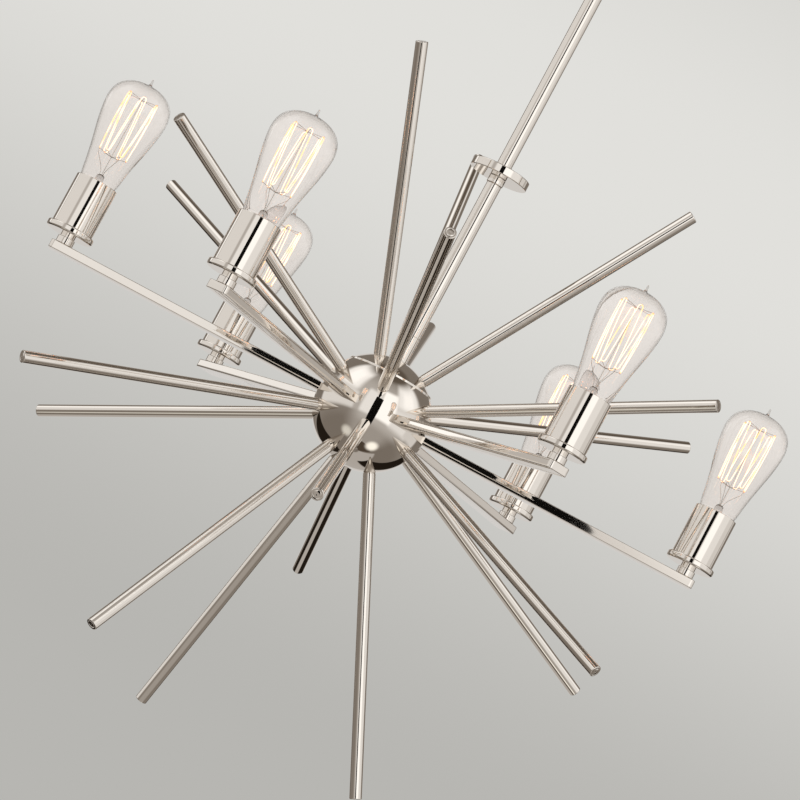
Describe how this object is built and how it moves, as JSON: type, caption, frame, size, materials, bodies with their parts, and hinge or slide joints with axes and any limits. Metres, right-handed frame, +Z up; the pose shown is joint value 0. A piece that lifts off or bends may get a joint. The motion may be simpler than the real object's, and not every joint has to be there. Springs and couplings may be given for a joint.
{
  "type": "sputnik chandelier",
  "caption": "Rod-hung chandelier with level lamp arms and plain radiating rods on a ball hub, with clear squirrel-cage bulbs in upright cups.",
  "frame": {"origin": "on the stem's axis in the plane of the ceiling, at the centre of the mounting strap's two slots", "axes": "+Z up along the stem, +X along the first lamp arm and along the line of the strap's slots"},
  "size_m": [0.7706, 0.7237, 1.0258],
  "materials": {
    "nickel": "polished nickel plate on brass, mirror bright",
    "zinc_steel": "zinc plated",
    "holder": "glazed",
    "clear_glass": "clear, polished",
    "bulb_cap": "bright",
    "filament": "bright wire"
  },
  "bodies": {
    "ceiling_fixing": {"mounting_strap": "zinc_steel", "ceiling_nipple": "zinc_steel", "canopy": "nickel", "canopy_ring": "nickel"},
    "swivel": {"swivel_yoke": "nickel", "swivel_pin": "nickel"},
    "hanging_frame": {"swivel_tongue": "nickel", "upper_stem": "nickel", "disc_nipple": "zinc_steel", "stem_disc": "nickel", "lower_stem": "nickel", "stem_base": "nickel", "hub_tie": "zinc_steel", "hub_cap": "nickel", "hub_shell": "nickel", "arm_carrier": "zinc_steel", "hub_nut": "zinc_steel", "arm_screws": "zinc_steel", "upper_rods": "nickel", "lower_rods": "nickel", "top_rods": "nickel", "bottom_rods": "nickel", "lamp_nipples": "zinc_steel", "neck_spacers": "nickel", "arm_1": "nickel", "arm_2": "nickel", "arm_3": "nickel", "arm_4": "nickel", "arm_5": "nickel", "arm_6": "nickel", "cup_1": "nickel", "cup_2": "nickel", "cup_3": "nickel", "cup_4": "nickel", "cup_5": "nickel", "cup_6": "nickel", "lampholder_1": "holder", "lampholder_2": "holder", "lampholder_3": "holder", "lampholder_4": "holder", "lampholder_5": "holder", "lampholder_6": "holder"},
    "bulb_1": {"bulb_glass_1": "clear_glass", "bulb_cap_1": "bulb_cap", "filament_1": "filament"},
    "bulb_2": {"bulb_glass_2": "clear_glass", "bulb_cap_2": "bulb_cap", "filament_2": "filament"},
    "bulb_3": {"bulb_glass_3": "clear_glass", "bulb_cap_3": "bulb_cap", "filament_3": "filament"},
    "bulb_4": {"bulb_glass_4": "clear_glass", "bulb_cap_4": "bulb_cap", "filament_4": "filament"},
    "bulb_5": {"bulb_glass_5": "clear_glass", "bulb_cap_5": "bulb_cap", "filament_5": "filament"},
    "bulb_6": {"bulb_glass_6": "clear_glass", "bulb_cap_6": "bulb_cap", "filament_6": "filament"}
  },
  "joints": [
    {"name": "swivel_turn", "type": "hinge", "parent": "ceiling_fixing", "child": "swivel", "pos_m": [0, 0, -0.0343], "axis": [0, 0, 1], "range_deg": [-150, 150]},
    {"name": "stem_tilt", "type": "hinge", "parent": "swivel", "child": "hanging_frame", "pos_m": [0, 0, -0.0563], "axis": [0, 1, 0], "range_deg": [-45, 45]},
    {"name": "bulb_out_1", "type": "slide", "parent": "hanging_frame", "child": "bulb_1", "axis": [0, 0, 1], "range_m": [0, 0.035]},
    {"name": "bulb_out_2", "type": "slide", "parent": "hanging_frame", "child": "bulb_2", "axis": [0, 0, 1], "range_m": [0, 0.035]},
    {"name": "bulb_out_3", "type": "slide", "parent": "hanging_frame", "child": "bulb_3", "axis": [0, 0, 1], "range_m": [0, 0.035]},
    {"name": "bulb_out_4", "type": "slide", "parent": "hanging_frame", "child": "bulb_4", "axis": [0, 0, 1], "range_m": [0, 0.035]},
    {"name": "bulb_out_5", "type": "slide", "parent": "hanging_frame", "child": "bulb_5", "axis": [0, 0, 1], "range_m": [0, 0.035]},
    {"name": "bulb_out_6", "type": "slide", "parent": "hanging_frame", "child": "bulb_6", "axis": [0, 0, 1], "range_m": [0, 0.035]}
  ]
}
